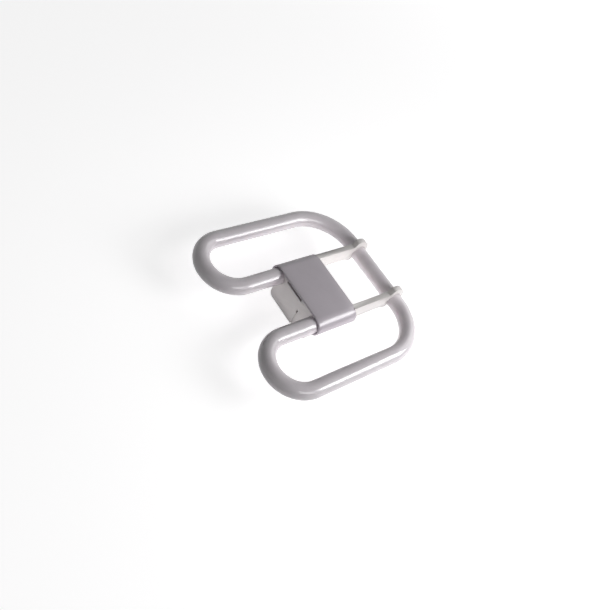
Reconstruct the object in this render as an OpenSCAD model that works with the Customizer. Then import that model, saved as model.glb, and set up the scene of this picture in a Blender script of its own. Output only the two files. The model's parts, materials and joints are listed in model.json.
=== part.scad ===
// Square compact fluorescent lamp with a two-pin cap.
// A sealed glass tube is bent in one plane into a square of two lobes. Its two legs
// end in a moulded cap, which carries two arms that clip over the far side.
// The seating face lies at Z = 0, the two legs run along Y and the clips face +Y.

/* [Tube] */
// Outer diameter of the glass tube
tube_d = 12; // [11:0.1:13]
// Width over the two outer sides
overall_w = 141; // [136:0.5:150]
// Length from the bends to the far side
overall_l = 138; // [132:0.5:148]
// Distance between the axes of the two legs
leg_pitch = 44; // [43:0.5:47]
// Bend radius of the two far corners, at the axis
corner_r = 34.6; // [28:0.2:38]
// How far the ends of the legs lie past the middle of the outline
leg_reach = 13; // [10:0.5:13.5]
// Radius of the shoulder where the tube is drawn in and sealed
seal_r = 2.5; // [1.5:0.1:3.5]
// Diameter of the sealed pumping tip
tip_d = 3; // [2:0.1:3.6]
// Length of the sealed pumping tip
tip_l = 1.4; // [1:0.1:2]

/* [Cap] */
// Height of the tube's axis above the seating face
axis_h = 20.3; // [20:0.1:24]
// Distance of the cap's near edge from the middle of the outline
cap_front = 15; // [13:0.5:17]
// Length of the cap
cap_l = 35; // [34:0.5:40]
// Wall of the cover
cover_t = 1.5; // [1.2:0.1:2]
// Wall of the base
base_t = 1.8; // [1.4:0.1:2.2]
// Clearance round the glass in the cap and the clips
glass_gap = 0.25; // [0.15:0.05:0.4]
// Clearance between the cover and the base
joint_gap = 0.15; // [0.1:0.05:0.3]
// How far the near end wall stands back from the cover's edge
wall_setback = 1; // [0.5:0.1:2]
// Radius of the two lower long edges of the base
edge_r = 4; // [2:0.2:5]

/* [End wall] */
// Height of the slit between the near end wall and the cover
slit_h = 1.9; // [0.8:0.1:2.4]
// Width of that slit
slit_w = 17.5; // [10:0.5:20]
// Distance of the slit's middle from the lamp's middle, on the left
slit_x = 4.2; // [0:0.1:5]
// Distance of the relief's inner side from the lamp's middle
relief_x = 5.9; // [5:0.1:8]
// Width of the shallow relief in the lower wall
relief_w = 9.5; // [6:0.1:10]
// Depth of the relief
relief_t = 1; // [0.4:0.1:1.1]
// How far below the tube's axis the relief ends
relief_top = 8.5; // [8:0.1:10]
// Width of the vent over the relief's inner side
vent_w = 1.3; // [1:0.1:2]
// Height of the vent
vent_h = 2.6; // [2:0.1:3]
// How far below the tube's axis the vent's middle lies
vent_low = 6.1; // [5:0.1:6.4]

/* [Socket recess] */
// Width of the recess that the lampholder enters
recess_w = 30; // [26:0.5:31]
// Length of the recess
recess_l = 22; // [18:0.5:23]
// Depth of the recess
recess_h = 9; // [8:0.1:9.5]
// Thickness of the plate that carries the contact pins
plate_t = 2; // [1.5:0.1:2.2]
// Width of the keying rib in the recess
key_w = 3; // [2:0.1:4]
// How far the keying rib stands out
key_t = 1.5; // [1:0.1:2]
// Width of each latch window
latch_w = 8; // [6:0.5:10]
// Height of each latch window
latch_h = 2.5; // [2:0.1:3]
// Height of the latch windows' lower edge above the seating face
latch_z = 3.5; // [2.5:0.1:4]

/* [Contact pins] */
// Diameter of the contact pins
pin_d = 2.4; // [2:0.1:2.8]
// Distance between the two pins
pin_pitch = 8; // [7.5:0.1:9]
// Length of each pin below its plate
pin_l = 7; // [5:0.1:7.5]
// Length of the riveted head above the plate
head_h = 1.6; // [1:0.1:1.8]
// Diameter of the riveted head
head_d = 3.6; // [3.2:0.1:4]
// Diameter of the pin's shoulder, pressed into the plate
shoulder_d = 2.8; // [2.8:0.1:3.2]
// Radius of the pin's rounded tip
pin_tip_r = 0.8; // [0.4:0.1:0.9]

/* [Arms] */
// Distance of each arm's middle plane from the lamp's middle
arm_x = 23.4; // [21:0.1:24]
// Thickness of the arms
arm_t = 4.2; // [3.4:0.1:4.4]
// Height of the arms' top edge above the tube's axis
arm_top = 7.6; // [6:0.1:8]
// Depth of the arms' lower edge below the tube's axis
arm_low = 5; // [4.5:0.1:6]
// Extra depth of the arms at the cap
root_h = 3; // [2:0.1:4]
// Length over which that extra depth fades out
root_l = 9; // [6:0.5:12]
// Width of the groove that cores the arms from below
core_w = 1.4; // [1:0.1:1.8]
// Thickness that the groove leaves under the top edge
core_top = 1.6; // [1.4:0.1:2]

/* [Clips] */
// Thickness of the clip over the outer side of the tube
clip_t = 1.85; // [1.5:0.05:2.4]
// Thickness of the clip over the top of the tube
crown_t = 5.9; // [5:0.1:6]
// Radius of the clip's rounded back
clip_r = 11; // [10:0.1:11.5]
// Radius of the rounded edge at the top of the ramp
crown_r = 1.5; // [1:0.1:3]
// Distance of that rounded edge in front of the tube's axis
crown_l = 4.4; // [3:0.1:4.8]
// Slope of the ramp in front of the clip
ramp_angle = 60; // [45:1:65]
// Extra depth of the jaw under the inner side of the tube
jaw_h = 2; // [1.5:0.1:3.2]
// Length of the jaw in front of the tube's axis
jaw_l = 12; // [10:0.5:14]
// Angle below level at which the outer finger of the clip ends
finger_angle = 15; // [5:1:25]
// Angle below level at which the inner jaw ends
jaw_angle = 55; // [50:1:62]

/* [Starter and capacitor] */
// Diameter of the starter's glass bulb
starter_d = 8; // [7:0.1:8.5]
// Length of the starter's bulb
starter_l = 17; // [14:0.5:17.5]
// Distance of the starter from the lamp's middle
starter_x = 10; // [9.8:0.1:10.4]
// Distance between the starter's two leads
starter_pitch = 2.6; // [2.2:0.1:3]
// Thickness of the capacitor
capacitor_t = 4; // [3:0.1:5]
// Length of the capacitor
capacitor_l = 10; // [8:0.5:12]
// Height of the capacitor
capacitor_h = 8; // [7:0.1:9]
// Distance of the capacitor from the lamp's middle
capacitor_x = 7; // [6:0.1:8]
// Diameter of the connecting wires
wire_d = 0.8; // [0.6:0.1:0.9]
// Distance between the two leads of a tube end
lead_pitch = 4; // [3.6:0.1:4.4]
// Thickness of the ribs that carry the legs and the starter
rib_t = 1.4; // [1:0.1:1.6]
// Length of each cement bead
cement_l = 8; // [6:0.5:9]

/* [Hidden] */
$fn = 96;
sides = [-1, 1];
overcut = 1;

// The path of the tube, seen from above, from the middle of its outline
tube_r = tube_d / 2;
leg_x = leg_pitch / 2;
side_x = overall_w / 2 - tube_r;
far_y = overall_l / 2 - tube_r;
bend_r = (side_x - leg_x) / 2;
bend_x = leg_x + bend_r;
bend_y = -(far_y - bend_r);
corner_x = side_x - corner_r;
corner_y = far_y - corner_r;

// The seat of the glass in the plastic, and the cover's section
seat_r = tube_r + glass_gap;
cover_r = seat_r + cover_t;

// The clips reach past the glass, so the outline's middle is moved back by half of it
clip_reach = glass_gap + clip_t;
middle_y = -clip_reach / 2;

// Places along Y, from the middle of the outline
cover_near = -cap_front;
cap_far = cap_l - cap_front;
wall_near = cover_near + wall_setback;
cavity_near = wall_near + base_t;
cavity_far = cap_far - base_t;
cover_far = cavity_far - joint_gap;
recess_y = (cavity_near + cavity_far) / 2;
leg_end = leg_reach;
rib_y = cavity_near + cement_l;

// Heights, from the tube's axis
floor_z = -axis_h;
plate_low = floor_z + recess_h;
plate_z = plate_low + plate_t;
wall_top = seat_r - joint_gap;
head_z = plate_z + head_h;

// Widths of the base
box_x = leg_x;
cavity_x = box_x - base_t;
recess_x = recess_w / 2;
block_x = recess_x + base_t;
block_y = recess_l / 2 + base_t;

// Places of the starter, the capacitor and the wires
wire_r = wire_d / 2;
lead_z = lead_pitch / 2;
bus_y = (leg_end + cavity_far) / 2 + wire_r;
starter_near = cavity_near + 2 * base_t;
starter_end = starter_near + starter_l;
starter_r = starter_d / 2;
saddle_gap = 0.2;
capacitor_low = head_z + wire_d;
capacitor_near = recess_y - capacitor_l / 2;
capacitor_end = recess_y + capacitor_l / 2;
capacitor_lead = capacitor_t / 2 - wire_r;
wire_fall = 2 * wire_d;

// Everything is drawn round the tube's axis and lifted to its place here
module at_axis() {
    translate([0, middle_y, axis_h]) children();
}

// Turns a flat shape so that it stands across the lamp and grows along Y
module across(near, far) {
    translate([0, far, 0]) rotate([90, 0, 0]) linear_extrude(far - near) children();
}

// Turns a flat shape so that it stands along the lamp, centred on one plane
module along(x, thickness) {
    translate([x - thickness / 2, 0, 0]) rotate([90, 0, 90]) linear_extrude(thickness) children();
}

// Draws its children on the left and, mirrored, on the right
module both_sides() {
    children();
    mirror([1, 0, 0]) children();
}

// One straight length of tube along Y
module straight(x, from_y, to_y) {
    translate([x, to_y, 0]) rotate([90, 0, 0]) cylinder(r = tube_r, h = to_y - from_y);
}

// One bend of the tube in its plane
module bend(radius, start, turn) {
    rotate([0, 0, start]) rotate_extrude(angle = turn) translate([radius, 0]) circle(r = tube_r);
}

// The sealed end of a leg, drawn in to a rounded shoulder with the pumping tip
module sealed_end() {
    rotate([-90, 0, 0]) rotate_extrude() {
        square([tube_r - seal_r, seal_r]);
        intersection() {
            translate([tube_r - seal_r, 0]) circle(r = seal_r);
            square([tube_r, seal_r]);
        }
        square([tip_d / 2, seal_r + tip_l]);
    }
}

// Half of the tube, from the middle of the far side to the sealed end
module half_tube() {
    translate([0, far_y, 0]) rotate([0, 90, 0]) cylinder(r = tube_r, h = corner_x);
    translate([corner_x, corner_y, 0]) bend(corner_r, 0, 90);
    straight(side_x, bend_y, corner_y);
    translate([bend_x, bend_y, 0]) bend(bend_r, 180, 180);
    straight(leg_x, bend_y, leg_end - seal_r);
    translate([leg_x, leg_end - seal_r, 0]) sealed_end();
}

module discharge_tube() {
    color("#f1eff0") at_axis() both_sides() half_tube();
}

// A flat band with round ends that wraps both legs
module stadium(radius) {
    for (side = sides) {
        translate([side * leg_x, 0]) circle(r = radius);
    }
    translate([-leg_x, -radius]) square([leg_pitch, 2 * radius]);
}

// Section of the cover: a flat top, round shoulders, and lips that hook under the legs
module cover_section() {
    lip_x = box_x + joint_gap;
    difference() {
        stadium(cover_r);
        stadium(seat_r);
        translate([-lip_x, -cover_r - overcut]) square([2 * lip_x, cover_r + overcut]);
    }
}

// Stiffening ribs under the flat top, clear of the legs
module cover_ribs() {
    rib_x = leg_x - seat_r - rib_t;
    rib_step = (cover_far - cover_near) / 3;
    for (index = [1, 2]) {
        translate([-rib_x, cover_near + index * rib_step - rib_t / 2, seat_r - rib_t]) {
            cube([2 * rib_x, rib_t, rib_t + joint_gap]);
        }
    }
}

module cap_cover() {
    color("#e9e7e8") at_axis() {
        across(cover_near, cover_far) cover_section();
        cover_ribs();
    }
}

// Outline of the base seen from its end: round lower edges and a square top
module box_section(inset, low, high) {
    half = box_x - inset;
    radius = edge_r - inset;
    for (side = sides) {
        translate([side * (half - radius), low + radius]) circle(r = radius);
    }
    translate([-half, low + radius]) square([2 * half, high - low - radius]);
    translate([radius - half, low]) square([2 * (half - radius), radius]);
}

// Round seats for the two legs
module leg_seats() {
    for (side = sides) {
        translate([side * leg_x, 0]) circle(r = seat_r);
    }
}

// Skin of the base: side walls, floor and near end wall, open on top
module base_shell() {
    side_top = -seat_r + joint_gap;
    difference() {
        across(wall_near, cap_far) difference() {
            box_section(0, floor_z, side_top);
            leg_seats();
        }
        across(cavity_near, cavity_far) box_section(base_t, floor_z + base_t, overcut);
    }
    across(wall_near, cavity_near) difference() {
        translate([-leg_x, -seat_r]) square([leg_pitch, wall_top + seat_r]);
        leg_seats();
        translate([-slit_x - slit_w / 2, wall_top - slit_h]) square([slit_w, slit_h + overcut]);
    }
}

// Far end wall, which covers the end of the cover and carries the arms
module far_wall() {
    across(cavity_far, cap_far) {
        stadium(cover_r);
        box_section(0, floor_z, 0);
    }
}

// Block round the socket recess, with the plate for the contact pins
module recess_block() {
    translate([-block_x, recess_y - block_y, floor_z]) {
        cube([2 * block_x, 2 * block_y, plate_z - floor_z]);
    }
    shelf_w = 2 * cavity_x;
    translate([-cavity_x, cavity_near, plate_low]) cube([shelf_w, cement_l + rib_t, plate_t]);
}

// The recess itself, with its keying rib left standing
module recess_space() {
    difference() {
        translate([-recess_x, recess_y - recess_l / 2, floor_z - overcut]) {
            cube([recess_w, recess_l, recess_h + overcut]);
        }
        translate([-key_w / 2, recess_y + recess_l / 2 - key_t, floor_z - overcut]) {
            cube([key_w, key_t + overcut, recess_h + 2 * overcut]);
        }
    }
}

// Windows in the long sides of the recess, for the lampholder's two latches
module latch_windows() {
    reach = block_x + overcut / 2;
    translate([-reach, recess_y - latch_w / 2, floor_z + latch_z]) {
        cube([2 * reach, latch_w, latch_h]);
    }
}

// Ribs across the base that carry the two legs, each with a round seat
module leg_ribs() {
    rib_x = leg_x - tube_r - rib_t;
    for (side = sides) {
        for (y = [rib_y, leg_end - seal_r - 2 * rib_t]) {
            across(y, y + rib_t) difference() {
                intersection() {
                    translate([side > 0 ? rib_x : -box_x, floor_z]) {
                        square([box_x - rib_x, -floor_z - tube_r / 2]);
                    }
                    box_section(base_t / 2, floor_z + base_t / 2, 0);
                }
                leg_seats();
            }
        }
    }
}

// Two saddles that carry the starter
module starter_saddles() {
    saddle_r = starter_r + saddle_gap;
    for (y = [starter_near + base_t, starter_end - starter_r - rib_t]) {
        across(y, y + rib_t) difference() {
            translate([starter_x - starter_r, plate_z - plate_t / 2]) {
                square([starter_d, -plate_z + plate_t / 2 - starter_r / 2]);
            }
            translate([starter_x, 0]) circle(r = saddle_r);
        }
    }
}

// Two posts between which the capacitor stands
module capacitor_posts() {
    for (y = [capacitor_near - rib_t - saddle_gap, capacitor_end + saddle_gap]) {
        translate([-capacitor_x - capacitor_t / 2, y, plate_z - plate_t / 2]) {
            cube([capacitor_t, rib_t, capacitor_low - plate_z + plate_t]);
        }
    }
}

// Side view of an arm and its clip, in Y and Z. A small arc at the top of the ramp runs
// smoothly into the large arc of the back, so both centres lie on one line.
module arm_section() {
    clip_far = far_y + seat_r + clip_t;
    clip_top = seat_r + crown_t;
    back_y = clip_far - clip_r;
    back_z = clip_top - clip_r;
    front_y = far_y - crown_l;
    front_z = back_z + sqrt((clip_r - crown_r) ^ 2 - (back_y - front_y) ^ 2);
    join_y = back_y - (back_y - front_y) * clip_r / (clip_r - crown_r);
    touch_y = front_y - crown_r * sin(ramp_angle);
    touch_z = front_z + crown_r * cos(ramp_angle);
    ramp_y = touch_y - (touch_z - arm_top) / tan(ramp_angle);
    mouth_l = 3 * seat_r;
    difference() {
        union() {
            polygon([
                [cap_far - base_t / 2, arm_top],
                [cap_far - base_t / 2, -arm_low],
                [cap_far, -arm_low - root_h],
                [cap_far + root_l, -arm_low],
                [far_y - jaw_l, -arm_low],
                [far_y - jaw_l / 2, -arm_low - jaw_h],
                [far_y, -arm_low - jaw_h],
                [far_y, arm_top]
            ]);
            polygon([
                [ramp_y, arm_top],
                [touch_y, touch_z],
                [front_y, front_z],
                [front_y, 0],
                [ramp_y, 0]
            ]);
            translate([front_y, front_z]) circle(r = crown_r);
            intersection() {
                translate([back_y, back_z]) circle(r = clip_r);
                translate([join_y, 0]) square([clip_far - join_y, clip_top]);
            }
            translate([far_y, 0]) circle(r = seat_r + clip_t);
        }
        translate([far_y, 0]) circle(r = seat_r);
        translate([far_y, 0]) polygon([
            [0, 0],
            [-mouth_l * cos(jaw_angle), -mouth_l * sin(jaw_angle)],
            [mouth_l, -mouth_l],
            [mouth_l * cos(finger_angle), -mouth_l * sin(finger_angle)]
        ]);
    }
}

// One support arm with its clip, cored from below by a groove
module arm(side) {
    core_l = far_y - seat_r - arm_t - cap_far;
    difference() {
        along(side * arm_x, arm_t) arm_section();
        translate([side * arm_x - core_w / 2, cap_far + core_top, -arm_low - root_h - overcut]) {
            cube([core_w, core_l, arm_top + arm_low + root_h + overcut - core_top]);
        }
    }
}

module pin_bores() {
    for (side = sides) {
        translate([side * pin_pitch / 2, recess_y, plate_low - overcut]) {
            cylinder(d = shoulder_d, h = plate_t + 2 * overcut);
        }
    }
}

// Shallow relief in the lower part of the near end wall, and the vent above its inner side
module wall_relief() {
    translate([relief_x, wall_near - overcut, floor_z - overcut]) {
        cube([relief_w, relief_t + overcut, axis_h - relief_top + overcut]);
    }
    translate([relief_x - vent_w / 2, wall_near - overcut, -vent_low - vent_h / 2]) {
        cube([vent_w, base_t + 2 * overcut, vent_h]);
    }
}

module cap_base() {
    color("#dedad6") at_axis() difference() {
        union() {
            base_shell();
            far_wall();
            recess_block();
            leg_ribs();
            starter_saddles();
            capacitor_posts();
            for (side = sides) arm(side);
        }
        recess_space();
        latch_windows();
        pin_bores();
        wall_relief();
    }
}

// A contact pin with a rounded tip, a pressed shoulder and a riveted head
module contact_pin(side) {
    color("#b9b6a8") at_axis() translate([side * pin_pitch / 2, recess_y, plate_low - pin_l]) {
        rotate_extrude() {
            translate([0, pin_tip_r]) square([pin_d / 2, pin_l - pin_tip_r]);
            translate([0, pin_l]) square([shoulder_d / 2, plate_t]);
            square([pin_d / 2 - pin_tip_r, pin_tip_r]);
            intersection() {
                translate([pin_d / 2 - pin_tip_r, pin_tip_r]) circle(r = pin_tip_r);
                square([pin_d / 2, pin_tip_r]);
            }
            translate([0, pin_l + plate_t]) square([head_d / 2, head_h]);
        }
    }
}

// A bead of cement in the pocket between the near wall, a rib and the underside of a leg
module cement(side) {
    inner_x = leg_x - tube_r - rib_t;
    color("#cfc9bd") at_axis() difference() {
        translate([side > 0 ? inner_x : -cavity_x, cavity_near, plate_z]) {
            cube([cavity_x - inner_x, cement_l, -plate_z - tube_r / 2]);
        }
        straight(side * leg_x, cavity_near - overcut, rib_y + overcut);
    }
}

// The starter's bulb: a round nose and a seal from which both leads come
module starter_bulb() {
    color("#d8dde0") at_axis() translate([starter_x, starter_near + starter_r, 0]) {
        sphere(r = starter_r);
        rotate([-90, 0, 0]) cylinder(r = starter_r, h = starter_l - starter_r);
    }
}

module capacitor() {
    color("#b5722e") at_axis() {
        translate([-capacitor_x - capacitor_t / 2, capacitor_near, capacitor_low]) {
            cube([capacitor_t, capacitor_l, capacitor_h]);
        }
    }
}

// A wire through a few points, straight between them and round at its bends
module wire(points) {
    color("#c9a06a") at_axis() {
        for (index = [1 : len(points) - 1]) {
            step = points[index] - points[index - 1];
            length = norm(step);
            translate(points[index - 1]) rotate([0, acos(step.z / length), atan2(step.y, step.x)]) {
                cylinder(r = wire_r, h = length);
            }
            if (index < len(points) - 1) translate(points[index]) sphere(r = wire_r);
        }
    }
}

// From the lower lead of a tube end, across the cap and down onto the head of its pin
module pin_wire(side) {
    wire([
        [side * leg_x, leg_end, -lead_z],
        [side * leg_x, bus_y, -lead_z],
        [side * pin_pitch / 2, bus_y, -lead_z],
        [side * pin_pitch / 2, bus_y, head_z + wire_fall],
        [side * pin_pitch / 2, recess_y, head_z + wire_fall],
        [side * pin_pitch / 2, recess_y, head_z]
    ]);
}

// From the upper lead of a tube end to the starter
module starter_wire(side) {
    lead_x = starter_x + side * starter_pitch / 2;
    wire([
        [side * leg_x, leg_end, lead_z],
        [side * leg_x, bus_y, lead_z],
        [lead_x, bus_y, lead_z],
        [lead_x, bus_y, 0],
        [lead_x, starter_end, 0]
    ]);
}

// From the capacitor straight to the left starter wire
module capacitor_wire_left() {
    wire([
        [-capacitor_x - capacitor_lead, capacitor_end, lead_z],
        [-capacitor_x - capacitor_lead, bus_y - wire_r, lead_z]
    ]);
}

// From the capacitor under the starter's leads to the right starter wire
module capacitor_wire_right() {
    low_z = -wire_fall;
    cross_y = (starter_end + bus_y) / 2;
    lead_x = starter_x + starter_pitch / 2;
    wire([
        [capacitor_lead - capacitor_x, capacitor_end, low_z],
        [capacitor_lead - capacitor_x, cross_y, low_z],
        [lead_x, cross_y, low_z],
        [lead_x, cross_y, -wire_r]
    ]);
}

discharge_tube();
cap_cover();
cap_base();
contact_pin(-1);  // contact_pin_left
contact_pin(1);  // contact_pin_right
cement(-1);  // cement_left
cement(1);  // cement_right
starter_bulb();
capacitor();
pin_wire(-1);  // pin_wire_left
pin_wire(1);  // pin_wire_right
starter_wire(-1);  // starter_wire_left
starter_wire(1);  // starter_wire_right
capacitor_wire_left();
capacitor_wire_right();
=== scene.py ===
# %% [markdown]
# # A square compact fluorescent lamp
# The lamp is a glass tube bent in one plane into a square of two lobes. Its two legs end in a
# moulded cap, and two arms on the cap clip over the far side of the tube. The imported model
# gives the sizes and the places. This file gives the lamp its looks: softened edges, drawn
# glass with a powder coating, moulded plastic and plated pins.

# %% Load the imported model
import json
import math

import bmesh
import bpy
from mathutils import Matrix, Vector


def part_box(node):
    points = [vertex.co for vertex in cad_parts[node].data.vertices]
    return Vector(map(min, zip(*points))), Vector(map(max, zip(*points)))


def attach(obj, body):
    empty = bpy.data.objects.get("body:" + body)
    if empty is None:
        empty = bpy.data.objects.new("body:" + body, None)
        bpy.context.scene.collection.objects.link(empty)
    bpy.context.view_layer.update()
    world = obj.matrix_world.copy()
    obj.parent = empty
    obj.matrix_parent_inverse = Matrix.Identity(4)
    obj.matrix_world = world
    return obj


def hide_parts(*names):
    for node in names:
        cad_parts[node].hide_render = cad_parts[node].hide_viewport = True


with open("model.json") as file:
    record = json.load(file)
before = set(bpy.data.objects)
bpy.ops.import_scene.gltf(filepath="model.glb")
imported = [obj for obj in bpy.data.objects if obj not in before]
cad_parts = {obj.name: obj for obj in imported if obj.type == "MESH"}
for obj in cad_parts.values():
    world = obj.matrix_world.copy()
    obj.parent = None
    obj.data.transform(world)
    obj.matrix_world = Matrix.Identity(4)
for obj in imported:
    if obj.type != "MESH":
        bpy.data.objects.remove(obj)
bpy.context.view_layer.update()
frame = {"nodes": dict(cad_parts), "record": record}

nodes = frame["nodes"]

# %% [markdown]
# ## Units, colours and nodes
# Blender counts in metres and the lamp is measured in millimetres, so every size below is
# multiplied by MM. Colours are written as on a paint card, in sRGB hex, and one function turns
# them into the linear values that Blender mixes. One more function adds a node to a material.

# %% Helpers for colours and nodes
MM = 0.001
X, Y, Z = Vector((1, 0, 0)), Vector((0, 1, 0)), Vector((0, 0, 1))


def linear(code):
    """The linear colour of an sRGB hex code."""
    parts = [int(code[i : i + 2], 16) / 255 for i in (1, 3, 5)]
    curve = [p / 12.92 if p <= 0.04045 else ((p + 0.055) / 1.055) ** 2.4 for p in parts]
    return (*curve, 1.0)


def add(tree, kind, settings=None, links=None, **attributes):
    """Adds a node of a kind, sets its attributes and sockets, and links its sockets."""
    node = tree.nodes.new("ShaderNode" + kind)
    for name, value in attributes.items():
        setattr(node, name, value)
    for socket, value in (settings or {}).items():
        node.inputs[socket].default_value = value
    for socket, source in (links or {}).items():
        tree.links.new(source, node.inputs[socket])
    return node


def new_material(name):
    """An empty node material, and its tree."""
    material = bpy.data.materials.new(name)
    material.use_nodes = True
    material.node_tree.nodes.clear()
    return material, material.node_tree


def finish_material(material, shader):
    """Puts a shader on a material's surface."""
    add(material.node_tree, "OutputMaterial", links={"Surface": shader})
    print("material", material.name, "with", len(material.node_tree.nodes), "nodes")
    return material


# %% [markdown]
# ## The glass tube's finish
# The real tube is soda-lime glass, drawn as a straight tube, coated inside with a white
# phosphor powder and then bent while it is soft. The eye sees two things: the powder, which
# is matt and lets light wander through it, and the bare glass over it, which is smooth and
# gives long, sharp highlights. A Principled shader has both: its base is the powder, with
# some subsurface scatter, and its coat is the glass. A glass wall has two surfaces, and each
# mirrors 4 in 100 of the light that meets it squarely. The coat has only one, so its IOR is
# set above that of glass, to 1.8, which mirrors as much as the two do together. The powder
# was poured in as a slurry, so it is a little cloudy, and drawn glass is never quite
# straight, so its highlight wavers.

# %% Material: coated soda-lime glass
POWDER_CLOUD = 9 * MM
POWDER_GRAIN = 0.8 * MM
DRAW_WAVE = 14 * MM
GLASS_WALL_IOR = 1.8


def coated_glass():
    material, tree = new_material("drawn_glass_over_phosphor_powder")
    place = add(tree, "TexCoord").outputs["Object"]
    cloud = add(tree, "TexNoise", {"Scale": 1 / POWDER_CLOUD, "Detail": 3.0, "Roughness": 0.55},
                {"Vector": place}).outputs["Fac"]
    grain = add(tree, "TexNoise", {"Scale": 1 / POWDER_GRAIN, "Detail": 2.0},
                {"Vector": place}).outputs["Fac"]
    wave = add(tree, "TexNoise", {"Scale": 1 / DRAW_WAVE, "Detail": 1.0},
               {"Vector": place}).outputs["Fac"]
    tone = add(tree, "ValToRGB", links={"Fac": cloud})
    tone.color_ramp.elements[0].position = 0.30
    tone.color_ramp.elements[0].color = linear("#e9e1e7")
    tone.color_ramp.elements[1].position = 0.70
    tone.color_ramp.elements[1].color = linear("#f1eaef")
    speck = add(tree, "MapRange",
                {"From Min": 0.25, "From Max": 0.75, "To Min": 0.97, "To Max": 1.0},
                {"Value": grain}).outputs["Result"]
    shade = add(tree, "VectorMath", links={0: tone.outputs["Color"], 1: speck},
                operation="MULTIPLY")
    base_bump = add(tree, "Bump", {"Strength": 0.25, "Distance": 0.03 * MM}, {"Height": grain})
    coat_bump = add(tree, "Bump", {"Strength": 0.5, "Distance": 0.03 * MM}, {"Height": wave})
    glass = add(tree, "BsdfPrincipled",
                {"Roughness": 0.55, "IOR": 1.45, "Specular IOR Level": 0.3,
                 "Subsurface Weight": 0.5, "Subsurface Radius": (1.0, 1.0, 1.0),
                 "Subsurface Scale": 3 * MM,
                 "Coat Weight": 1.0, "Coat Roughness": 0.05, "Coat IOR": GLASS_WALL_IOR},
                {"Base Color": shade.outputs["Vector"], "Normal": base_bump.outputs["Normal"],
                 "Coat Normal": coat_bump.outputs["Normal"]})
    return finish_material(material, glass.outputs["BSDF"])


coated_glass_finish = coated_glass()

# %% [markdown]
# ## The plastic's finish
# The cover and the base are injection moulded from white polyester plastic, in a mould whose
# steel was spark eroded. That leaves a very fine, even grain, which turns a gloss into a
# satin. The two parts come from two mouldings, so their whites differ a little: the cover
# is a cool greyish white and the base a warmer and lighter one. The photograph shows both
# shinier than the IOR of such a plastic gives, so the specular level is doubled. Handling
# adds faint rubbed patches, where the grain is polished. One function makes both finishes,
# each from two tones.

# %% Materials: moulded polyester
MOULD_GRAIN = 0.45 * MM
FLOW_CLOUD = 11 * MM
RUB_LENGTH = 5 * MM
RUB_SPREAD = 0.07


def moulded_plastic(name, dark, light, gloss):
    material, tree = new_material(name)
    place = add(tree, "TexCoord").outputs["Object"]
    flow = add(tree, "TexNoise", {"Scale": 1 / FLOW_CLOUD, "Detail": 4.0, "Roughness": 0.6},
               {"Vector": place}).outputs["Fac"]
    grain = add(tree, "TexNoise", {"Scale": 1 / MOULD_GRAIN, "Detail": 2.0, "Roughness": 0.6},
                {"Vector": place}).outputs["Fac"]
    rub = add(tree, "TexNoise", {"Scale": 1 / RUB_LENGTH, "Detail": 5.0, "Distortion": 1.2},
              {"Vector": place}).outputs["Fac"]
    tone = add(tree, "ValToRGB", links={"Fac": flow})
    tone.color_ramp.elements[0].position = 0.32
    tone.color_ramp.elements[0].color = linear(dark)
    tone.color_ramp.elements[1].position = 0.68
    tone.color_ramp.elements[1].color = linear(light)
    satin = add(tree, "MapRange", {"From Min": 0.3, "From Max": 0.7,
                                   "To Min": gloss, "To Max": gloss + RUB_SPREAD},
                {"Value": rub}).outputs["Result"]
    bump = add(tree, "Bump", {"Strength": 0.2, "Distance": 0.03 * MM}, {"Height": grain})
    plastic = add(tree, "BsdfPrincipled", {"IOR": 1.5, "Specular IOR Level": 1.0},
                  {"Base Color": tone.outputs["Color"], "Roughness": satin,
                   "Normal": bump.outputs["Normal"]})
    return finish_material(material, plastic.outputs["BSDF"])


cover_finish = moulded_plastic("moulded_polyester_cool_white", "#cbc2cb", "#cfc6cf", 0.17)
base_finish = moulded_plastic("moulded_polyester_warm_white", "#ece7e5", "#f0ecea", 0.20)

# %% [markdown]
# ## The small parts' finishes
# The contact pins are turned from brass and plated with nickel, which is a slightly warm
# grey metal with fine rings left by the lathe. Inside the cap, the cement is a gritty
# ceramic paste, the starter is a clear glass bulb, the capacitor was dipped in an orange
# resin that shrank a little as it set, and the wires are copper dipped in tin. They show
# only when the cap is opened, but they are finished for that too. They all are one
# Principled shader over one noise, so one function makes them from a few numbers.

# %% Materials: plated pins, cement, glass, resin and wire


def small_part(name, dark, light, size, bump_depth, stretch=(1, 1, 1), **sockets):
    material, tree = new_material(name)
    place = add(tree, "TexCoord").outputs["Object"]
    place = add(tree, "Mapping", {"Scale": stretch}, {"Vector": place}).outputs["Vector"]
    noise = add(tree, "TexNoise", {"Scale": 1 / size, "Detail": 4.0}, {"Vector": place})
    tone = add(tree, "ValToRGB", links={"Fac": noise.outputs["Fac"]})
    tone.color_ramp.elements[0].position = 0.35
    tone.color_ramp.elements[0].color = linear(dark)
    tone.color_ramp.elements[1].position = 0.65
    tone.color_ramp.elements[1].color = linear(light)
    bump = add(tree, "Bump", {"Strength": 0.5, "Distance": bump_depth},
               {"Height": noise.outputs["Fac"]})
    settings = {key.replace("_", " "): value for key, value in sockets.items()}
    shader = add(tree, "BsdfPrincipled", settings,
                 {"Base Color": tone.outputs["Color"], "Normal": bump.outputs["Normal"]})
    return finish_material(material, shader.outputs["BSDF"])


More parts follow.
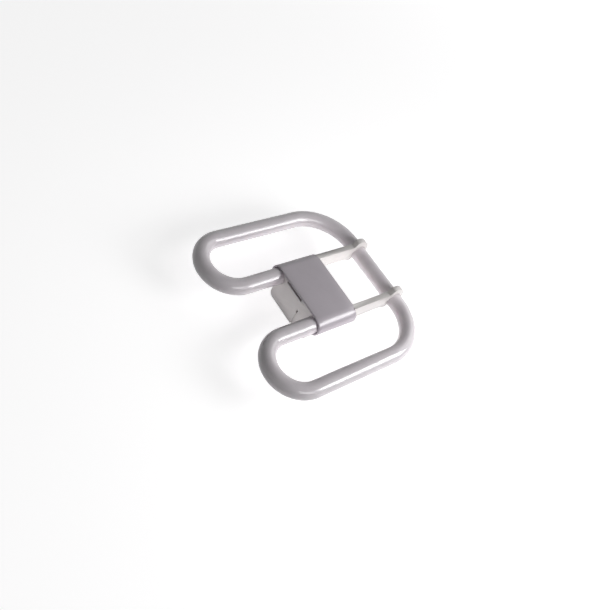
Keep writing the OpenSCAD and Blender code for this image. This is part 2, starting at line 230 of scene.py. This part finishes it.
finishes = {
    # Lathe rings: the noise is squeezed along Z, so that it turns into rings round the pin
    "pin_metal": small_part("nickel_plated_brass", "#b5b0a4", "#cbc7bc", 0.6 * MM, 0.01 * MM,
                            stretch=(0.05, 0.05, 3.0), Metallic=1.0, Roughness=0.27),
    "cement": small_part("fired_cement", "#c2baab", "#d9d2c6", 0.6 * MM, 0.12 * MM,
                         Roughness=0.92),
    "starter_glass": small_part("clear_blown_glass", "#e3e8ea", "#f2f5f6", 6 * MM, 0.02 * MM,
                                Roughness=0.03, Transmission_Weight=0.85, IOR=1.5),
    "capacitor_case": small_part("dipped_resin", "#a4611f", "#c07c35", 1.5 * MM, 0.08 * MM,
                                 Roughness=0.28, Coat_Weight=0.4),
    "wire_metal": small_part("tinned_copper", "#b98f63", "#cfc3b0", 0.5 * MM, 0.01 * MM,
                             Metallic=1.0, Roughness=0.33),
}

# %% [markdown]
# ## How a piece is finished
# Each new piece is built in a bmesh in its real place. This function gives it an object at
# the origin, smooth shading with crisp edges where faces meet steeply, its material and the
# body it rides on, and it hides the imported solid that it stands for.

# %% Helper that turns a bmesh into a piece
CRISP_ANGLE = math.radians(40)


def make_piece(mesh, name, finish, slot, *replaced):
    """Makes a mesh a finished piece that rides on the lamp's one body."""
    data = bpy.data.meshes.new(name)
    for face in mesh.faces:
        face.smooth = True
    mesh.to_mesh(data)
    mesh.free()
    data.set_sharp_from_angle(angle=CRISP_ANGLE)
    data.materials.append(finish)
    piece = bpy.data.objects.new(name, data)
    bpy.context.scene.collection.objects.link(piece)
    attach(piece, "root")
    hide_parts(*replaced)
    print(name, "has", len(data.polygons), "faces")
    return piece


# %% [markdown]
# ## Where the tube runs
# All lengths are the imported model's. The tube's path is a row of straight lengths and
# arcs: half of the far side, a wide corner, the outer side, a tight bend, and a leg that
# ends in the cap. Seen from above it is the same on the left and on the right.

# %% The tube's measures
tube_low, tube_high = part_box("discharge_tube")
TUBE_R = 6 * MM
AXIS_Z = (tube_low.z + tube_high.z) / 2
SIDE_X = tube_high.x - TUBE_R
CORNER_R = 34.6 * MM
LEG_X = 22 * MM
BEND_R = (SIDE_X - LEG_X) / 2
FAR_Y = tube_high.y - TUBE_R
CORNER_Y = FAR_Y - CORNER_R
CORNER_X = SIDE_X - CORNER_R
BEND_Y = tube_low.y + TUBE_R + BEND_R
LEG_END = 11.95 * MM
SEAL_R = 2.5 * MM  # the round where the leg's end is drawn in
print("tube axis at", round(AXIS_Z / MM, 2), "mm, bend radius", round(BEND_R / MM, 2), "mm")

# %% [markdown]
# ## The glass tube
# A glassworker makes it by softening a straight tube and bending it round formers, so the
# section stays a circle all along. The same is done here: one ring of points is pushed
# along the straight lengths with extrude, and turned round each former's axis with spin.
# The leg's end is drawn in like glass in a flame, by extruding the ring and shrinking it,
# step by step, down to the little tip where the tube was pumped out and sealed. The other
# half is a mirror image.

# %% The tube's steps and its sealed end
RING = 64
STRAIGHT_STEPS = 12
CORNER_STEPS = 40
BEND_STEPS = 60
MERGE = 0.01 * MM
# The web and the pumping tip of the leg's end, as distances past the round and radii in mm
TIP = [(0, 2.1), (0.12, 1.7), (0.4, 1.5), (1.0, 1.45), (1.25, 1.15), (1.4, 0.6)]


# %% Helpers that push and turn a ring of edges
def push(mesh, ring, move, steps=1):
    """Extrudes a ring of edges along a move, in steps, and returns the new ring."""
    for _ in range(steps):
        made = bmesh.ops.extrude_edge_only(mesh, edges=ring)["geom"]
        ends = [v for v in made if isinstance(v, bmesh.types.BMVert)]
        bmesh.ops.translate(mesh, vec=move / steps, verts=ends)
        ring = [e for e in made if isinstance(e, bmesh.types.BMEdge)
                and all(v in ends for v in e.verts)]
    return ring


def turn(mesh, ring, centre, angle, steps):
    """Spins a ring of edges round an upright axis, and returns the new ring."""
    made = bmesh.ops.spin(mesh, geom=ring, cent=centre, axis=Z, angle=angle, steps=steps,
                          use_merge=False, use_duplicate=False)["geom_last"]
    return [e for e in made if isinstance(e, bmesh.types.BMEdge)]


# %% Piece: the tube
def tube_mesh():
    mesh = bmesh.new()
    stand = Matrix.Translation((0, FAR_Y, AXIS_Z)) @ Matrix.Rotation(math.pi / 2, 4, "Y")
    bmesh.ops.create_circle(mesh, segments=RING, radius=TUBE_R, matrix=stand)
    ring = push(mesh, list(mesh.edges), X * CORNER_X, STRAIGHT_STEPS)
    ring = turn(mesh, ring, (CORNER_X, CORNER_Y, AXIS_Z), -math.pi / 2, CORNER_STEPS)
    ring = push(mesh, ring, Y * (BEND_Y - CORNER_Y), STRAIGHT_STEPS)
    ring = turn(mesh, ring, (LEG_X + BEND_R, BEND_Y, AXIS_Z), -math.pi, BEND_STEPS)
    ring = push(mesh, ring, Y * (LEG_END - SEAL_R - BEND_Y), STRAIGHT_STEPS)
    # The round, the web and the tip, as steps of (distance on, radius)
    corner = TUBE_R - SEAL_R
    profile = [(SEAL_R * math.sin(math.radians(a)), corner + SEAL_R * math.cos(math.radians(a)))
               for a in range(10, 91, 10)]
    profile += [(SEAL_R + on * MM, radius * MM) for on, radius in TIP]
    on, radius = 0, TUBE_R
    axis_point = Vector((LEG_X, 0, AXIS_Z))
    for next_on, next_radius in profile:
        ring = push(mesh, ring, Y * (next_on - on))
        shrink = next_radius / radius
        bmesh.ops.scale(mesh, vec=(shrink, 1, shrink), space=Matrix.Translation(-axis_point),
                        verts=list({v for e in ring for v in e.verts}))
        on, radius = next_on, next_radius
    bmesh.ops.contextual_create(mesh, geom=ring)
    half = list(mesh.verts) + list(mesh.edges) + list(mesh.faces)
    bmesh.ops.mirror(mesh, geom=half, axis="X", merge_dist=MERGE)
    bmesh.ops.remove_doubles(mesh, verts=mesh.verts, dist=MERGE)
    bmesh.ops.recalc_face_normals(mesh, faces=mesh.faces)
    return mesh


make_piece(tube_mesh(), "glass_tube", coated_glass_finish, "coated_glass", "discharge_tube")

# %% [markdown]
# ## The cover
# The real cover is a thin moulded shell that snaps over both legs: a flat top, round
# shoulders, and lips that hook under the glass. Its outer line is drawn from two points
# and two spins, pushed along the cap and given its wall by Solidify's operator. It runs on
# over the top of the cap's far wall. Its near end is a mouth: the inner edge flares, so that
# the cover slides over the base, and the outer edge has a fuller round. All other edges get
# the small round that every moulding has. Two ribs stiffen the top from inside.

# %% The cover's measures
cover_low, cover_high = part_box("cap_cover")
FAR_LAP = 1.8 * MM  # over the far wall
LAP_PROUD = 0.06 * MM  # so that the lapped part lies just over the base's own face
COVER_R = cover_high.x - LEG_X + LAP_PROUD
COVER_T = 1.5 * MM + LAP_PROUD
LIP_GAP = 0.15 * MM
RIB_T = 1.4 * MM
RIB_HALF = 14.35 * MM
EDGE_ROUND = 0.25 * MM
RIM_ROUND = 0.8 * MM
MOUTH_FLARE = 0.65 * MM
SHOULDER_STEPS = 48
PUSH_STEPS = 6
NEAR = 0.1 * MM  # how close to a line a point counts as on it


# %% Helpers that round edges
def rounded(mesh, width, steps=3, chosen=lambda edge: True):
    """Rounds the steep edges of a closed mesh, or those of them that are chosen."""
    steep = [e for e in mesh.edges
             if len(e.link_faces) == 2 and e.calc_face_angle() > CRISP_ANGLE and chosen(e)]
    bmesh.ops.bevel(mesh, geom=steep, offset=width, offset_type="OFFSET", segments=steps,
                    profile=0.5, affect="EDGES", clamp_overlap=True, material=-1)
    print("rounded", len(steep), "edges")


def at_mouth(edge, radius):
    """True for an edge of the cover's near end that lies on the line of a radius."""
    for vert in edge.verts:
        sideways = max(abs(vert.co.x) - LEG_X, 0)
        off = math.hypot(sideways, vert.co.z - AXIS_Z) - radius
        if abs(off) > NEAR or vert.co.y - cover_low.y > NEAR:
            return False
    return True


# %% Piece: the cover
def add_ribs(mesh):
    """Adds the two bars that stiffen the flat top from inside."""
    under = AXIS_Z + COVER_R - COVER_T
    bar = Matrix.Diagonal((2 * RIB_HALF, RIB_T, RIB_T + LIP_GAP, 1))
    for third in (1, 2):
        along = cover_low.y + third * (cover_high.y - cover_low.y) / 3
        place = (0, along, under - (RIB_T - LIP_GAP) / 2)
        bmesh.ops.create_cube(mesh, size=1, matrix=Matrix.Translation(place) @ bar)


def cover_mesh():
    mesh = bmesh.new()
    top = AXIS_Z + COVER_R
    flat = [mesh.verts.new((side * LEG_X, cover_low.y, top)) for side in (-1, 1)]
    mesh.edges.new(flat)
    wrap = math.pi - math.asin(LIP_GAP / COVER_R)
    for vert, way in zip(flat, (-1, 1)):
        bmesh.ops.spin(mesh, geom=[vert], cent=(vert.co.x, cover_low.y, AXIS_Z), axis=Y,
                       angle=way * wrap, steps=SHOULDER_STEPS,
                       use_merge=False, use_duplicate=False)
    push(mesh, list(mesh.edges), Y * (cover_high.y + FAR_LAP - cover_low.y), PUSH_STEPS)
    bmesh.ops.recalc_face_normals(mesh, faces=mesh.faces)
    if max(mesh.faces, key=lambda f: f.calc_center_median().z).normal.z < 0:
        bmesh.ops.reverse_faces(mesh, faces=mesh.faces)
    bmesh.ops.solidify(mesh, geom=mesh.faces[:], thickness=COVER_T)
    rounded(mesh, MOUTH_FLARE, 4, lambda edge: at_mouth(edge, COVER_R - COVER_T))
    rounded(mesh, RIM_ROUND, 4, lambda edge: at_mouth(edge, COVER_R))
    add_ribs(mesh)
    rounded(mesh, EDGE_ROUND)
    return mesh


make_piece(cover_mesh(), "cover_shell", cover_finish, "cover_plastic", "cap_cover")

# %% [markdown]
# ## The base with its arms
# The base is the most skilled moulding of the lamp: box, end walls, recess, arms and clips
# come out of one mould. Its solid is right already, but its edges are knife sharp, and no
# moulding is. So its mesh is copied, its doubled points are merged, its flat areas are joined,
# and its steep edges are rounded. A real mould leaves about a quarter of a millimetre. The
# near end wall has a dark slit under the cover. The cover's rounded rim hides part of it, so
# its lower edge is moved down by under a millimetre, to show it as wide as in the
# photograph.

# %% Piece: the base
SLIT_X = -4.2 * MM
SLIT_W = 17.5 * MM
SLIT_Z = AXIS_Z + 4.2 * MM
SLIT_DROP = 0.9 * MM
SLIT_DEPTH = 5 * MM
BASE_ROUND = 0.2 * MM


def softened_copy(node, width):
    """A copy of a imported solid's mesh, with the slit opened and the steep edges rounded."""
    mesh = bmesh.new()
    mesh.from_mesh(nodes[node].data)
    bmesh.ops.remove_doubles(mesh, verts=mesh.verts, dist=0.001 * MM)
    bmesh.ops.dissolve_limit(mesh, angle_limit=math.radians(0.5), verts=mesh.verts,
                             edges=mesh.edges, use_dissolve_boundaries=False)
    slit_floor = [v for v in mesh.verts if abs(v.co.z - SLIT_Z) < 0.02 * MM
                  and abs(v.co.x - SLIT_X) < SLIT_W / 2 + NEAR
                  and v.co.y < cover_low.y + SLIT_DEPTH]
    print("slit floor points", len(slit_floor))
    bmesh.ops.translate(mesh, vec=-Z * SLIT_DROP, verts=slit_floor)
    rounded(mesh, width, 2)
    return mesh


make_piece(softened_copy("cap_base", BASE_ROUND), "base_moulding", base_finish, "base_plastic",
           "cap_base")

# %% [markdown]
# ## The hidden parts
# The pins, the cement, the starter, the capacitor and the wires already have their right
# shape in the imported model. They keep it, and take their real finish.

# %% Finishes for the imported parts
kept = 0
for subpart in frame["record"]["subparts"]:
    finish = finishes.get(subpart["material_slot"])
    if finish:
        data = nodes[subpart["node"]].data
        data.materials.clear()
        data.materials.append(finish)
        kept += 1
print("packed parts with a new finish:", kept)

# %% [markdown]
# ## Floor and world
# The lamp lies on a plain pale board in a white room. The camera sees both as white, as in a
# catalogue picture, and so do gloss and glass, which mirror them. For that, the board glows
# for camera, glossy and transmitted rays, and gives no light to the lamp. Close to the lamp it
# glows less, because the soft boxes light it there, and so the soft shadow stays on it. Far
# away, where their light is weak, the glow alone is white.

# %% Stage: the floor
FLOOR_SIZE = 6.0
FLOOR_Z = -0.02 * MM  # a hair under the seating face, which would flicker if they met
floor_mesh = bmesh.new()
bmesh.ops.create_grid(floor_mesh, x_segments=1, y_segments=1, size=FLOOR_SIZE / 2,
                      matrix=Matrix.Translation((0, 0, FLOOR_Z)))
floor_data = bpy.data.meshes.new("floor")
floor_mesh.to_mesh(floor_data)
floor_mesh.free()
floor = bpy.data.objects.new("floor", floor_data)
bpy.context.scene.collection.objects.link(floor)
print("floor", FLOOR_SIZE, "m wide")


# %% Stage: what sees the white background
def white_share(tree):
    """1 for a ray that sees the white background, from the camera, a gloss or a glass."""
    rays = add(tree, "LightPath").outputs
    seen = add(tree, "Math", links={0: rays["Is Camera Ray"], 1: rays["Is Glossy Ray"]},
               operation="MAXIMUM").outputs[0]
    return add(tree, "Math", links={0: seen, 1: rays["Is Transmission Ray"]},
               operation="MAXIMUM").outputs[0]


# %% Material: the painted board
FLOOR_GLOW = 0.73
GLOW_RISES_FROM, GLOW_FULL_AT = 0.2, 1.5  # metres from the lamp
material, tree = new_material("painted_pale_board")
seen = white_share(tree)
place = add(tree, "TexCoord").outputs["Object"]
away = add(tree, "VectorMath", links={0: place}, operation="LENGTH").outputs["Value"]
fade = add(tree, "MapRange", {"From Min": GLOW_RISES_FROM, "From Max": GLOW_FULL_AT,
                              "To Min": FLOOR_GLOW, "To Max": 1.0},
           {"Value": away}, interpolation_type="SMOOTHSTEP").outputs["Result"]
glow = add(tree, "Math", links={0: fade, 1: seen}, operation="MULTIPLY").outputs[0]
board = add(tree, "BsdfDiffuse", {"Color": linear("#f4f3f4")})
light = add(tree, "Emission", {"Color": (1, 1, 1, 1)}, {"Strength": glow})
both = add(tree, "AddShader", links={0: board.outputs[0], 1: light.outputs[0]})
floor_data.materials.append(finish_material(material, both.outputs[0]))

# %% Stage: the world
WORLD_LIGHT = 0.01  # what the room gives to matt surfaces; gloss and the camera see 1
world = bpy.data.worlds.new("studio")
bpy.context.scene.world = world
world.use_nodes = True
tree = world.node_tree
tree.nodes.clear()
seen = white_share(tree)
level = add(tree, "MapRange", {"To Min": WORLD_LIGHT, "To Max": 1.0}, {"Value": seen})
sky = add(tree, "Background", {"Color": (1, 1, 1, 1)}, {"Strength": level.outputs["Result"]})
add(tree, "OutputWorld", links={"Surface": sky.outputs[0]})
print("world with", len(tree.nodes), "nodes")

# %% [markdown]
# ## Lamps
# The picture was lit softly from low on the right and from the far side, so the faces on the
# right are much lighter than the top, which has only the white room to mirror. Each soft
# box is an area lamp that the camera doesn't see. Its power is worked out from a brightness
# and its area, so that boxes of any size compare. Four low panels just over the board shine
# up through the lamp's openings, as a light table would, and brighten the inner sides of the
# glass and the arms. Gloss doesn't see the panels, whose edges would show as bright lines.

# %% Stage: soft boxes
SOFT_BOXES = [
    # name, place in mm, aim in mm, width and height in mm, brightness
    ("key", (200, 170, 160), (0, 0, 20), (170, 115), 4.5),
    ("right", (1000, 0, 700), (0, 0, 20), (700, 500), 2.2),
    ("far_right", (707, 707, 700), (0, 0, 20), (700, 500), 2.4),
    ("far", (0, 1000, 700), (0, 0, 20), (700, 500), 1.1),
    ("far_low", (0, 1200, 200), (0, 0, 20), (1200, 400), 0.3),
    ("near_low", (0, -1200, 200), (0, 0, 20), (1200, 400), 0.1),
    ("left", (-1000, 0, 700), (0, 0, 20), (700, 500), 0.1),
    ("panel_left", (-43, -5, 0.4), (-43, -5, 100), (26, 76), 1.0),
    ("panel_right", (43, -5, 0.4), (43, -5, 100), (26, 76), 1.0),
    ("panel_far", (0, 38, 0.4), (0, 38, 100), (36, 28), 1.5),
    ("panel_near", (0, -45, 0.4), (0, -45, 100), (24, 44), 0.8),
]
for name, place, aim, size, brightness in SOFT_BOXES:
    lamp = bpy.data.lights.new(name, "AREA")
    lamp.shape = "RECTANGLE"
    lamp.size, lamp.size_y = size[0] * MM, size[1] * MM
    lamp.energy = brightness * math.pi * lamp.size * lamp.size_y
    stand = bpy.data.objects.new(name, lamp)
    bpy.context.scene.collection.objects.link(stand)
    stand.location = Vector(place) * MM
    stand.rotation_euler = (Vector(place) - Vector(aim)).to_track_quat("Z", "Y").to_euler()
    stand.visible_camera = False
    stand.visible_glossy = not name.startswith("panel")
print("soft boxes:", len(SOFT_BOXES))

# %% [markdown]
# ## Camera
# The camera stands high on the right of the lamp's near side. It is rolled by about a third
# of a right angle, so that the lamp lies across the picture as in the photograph. Its
# direction comes from two angles, and its own right and up from the roll.

# %% Stage: the camera
AZIMUTH, ELEVATION, ROLL = math.radians(30.03), math.radians(46.65), math.radians(32.41)
DISTANCE = 487.7 * MM
TARGET = Vector((6.16, -10.73, 20.3)) * MM
LENS, SENSOR = 41.61, 36.0  # in mm, as on a camera
back = Vector((math.sin(AZIMUTH) * math.cos(ELEVATION), -math.cos(AZIMUTH) * math.cos(ELEVATION),
               math.sin(ELEVATION)))
level_right = Vector((math.cos(AZIMUTH), math.sin(AZIMUTH), 0))
level_up = back.cross(level_right)
right = math.cos(ROLL) * level_right + math.sin(ROLL) * level_up
up = back.cross(right)
camera_data = bpy.data.cameras.new("camera")
camera_data.lens, camera_data.sensor_width = LENS, SENSOR
camera_data.clip_start, camera_data.clip_end = 0.01, 50.0
camera = bpy.data.objects.new("camera", camera_data)
bpy.context.scene.collection.objects.link(camera)
camera.matrix_world = Matrix.Translation(TARGET + DISTANCE * back) @ Matrix(
    (right, up, back)).transposed().to_4x4()
bpy.context.scene.camera = camera
bpy.context.scene.view_settings.view_transform = "Standard"
print("camera at", [round(1000 * c) for c in camera.matrix_world.translation], "mm")
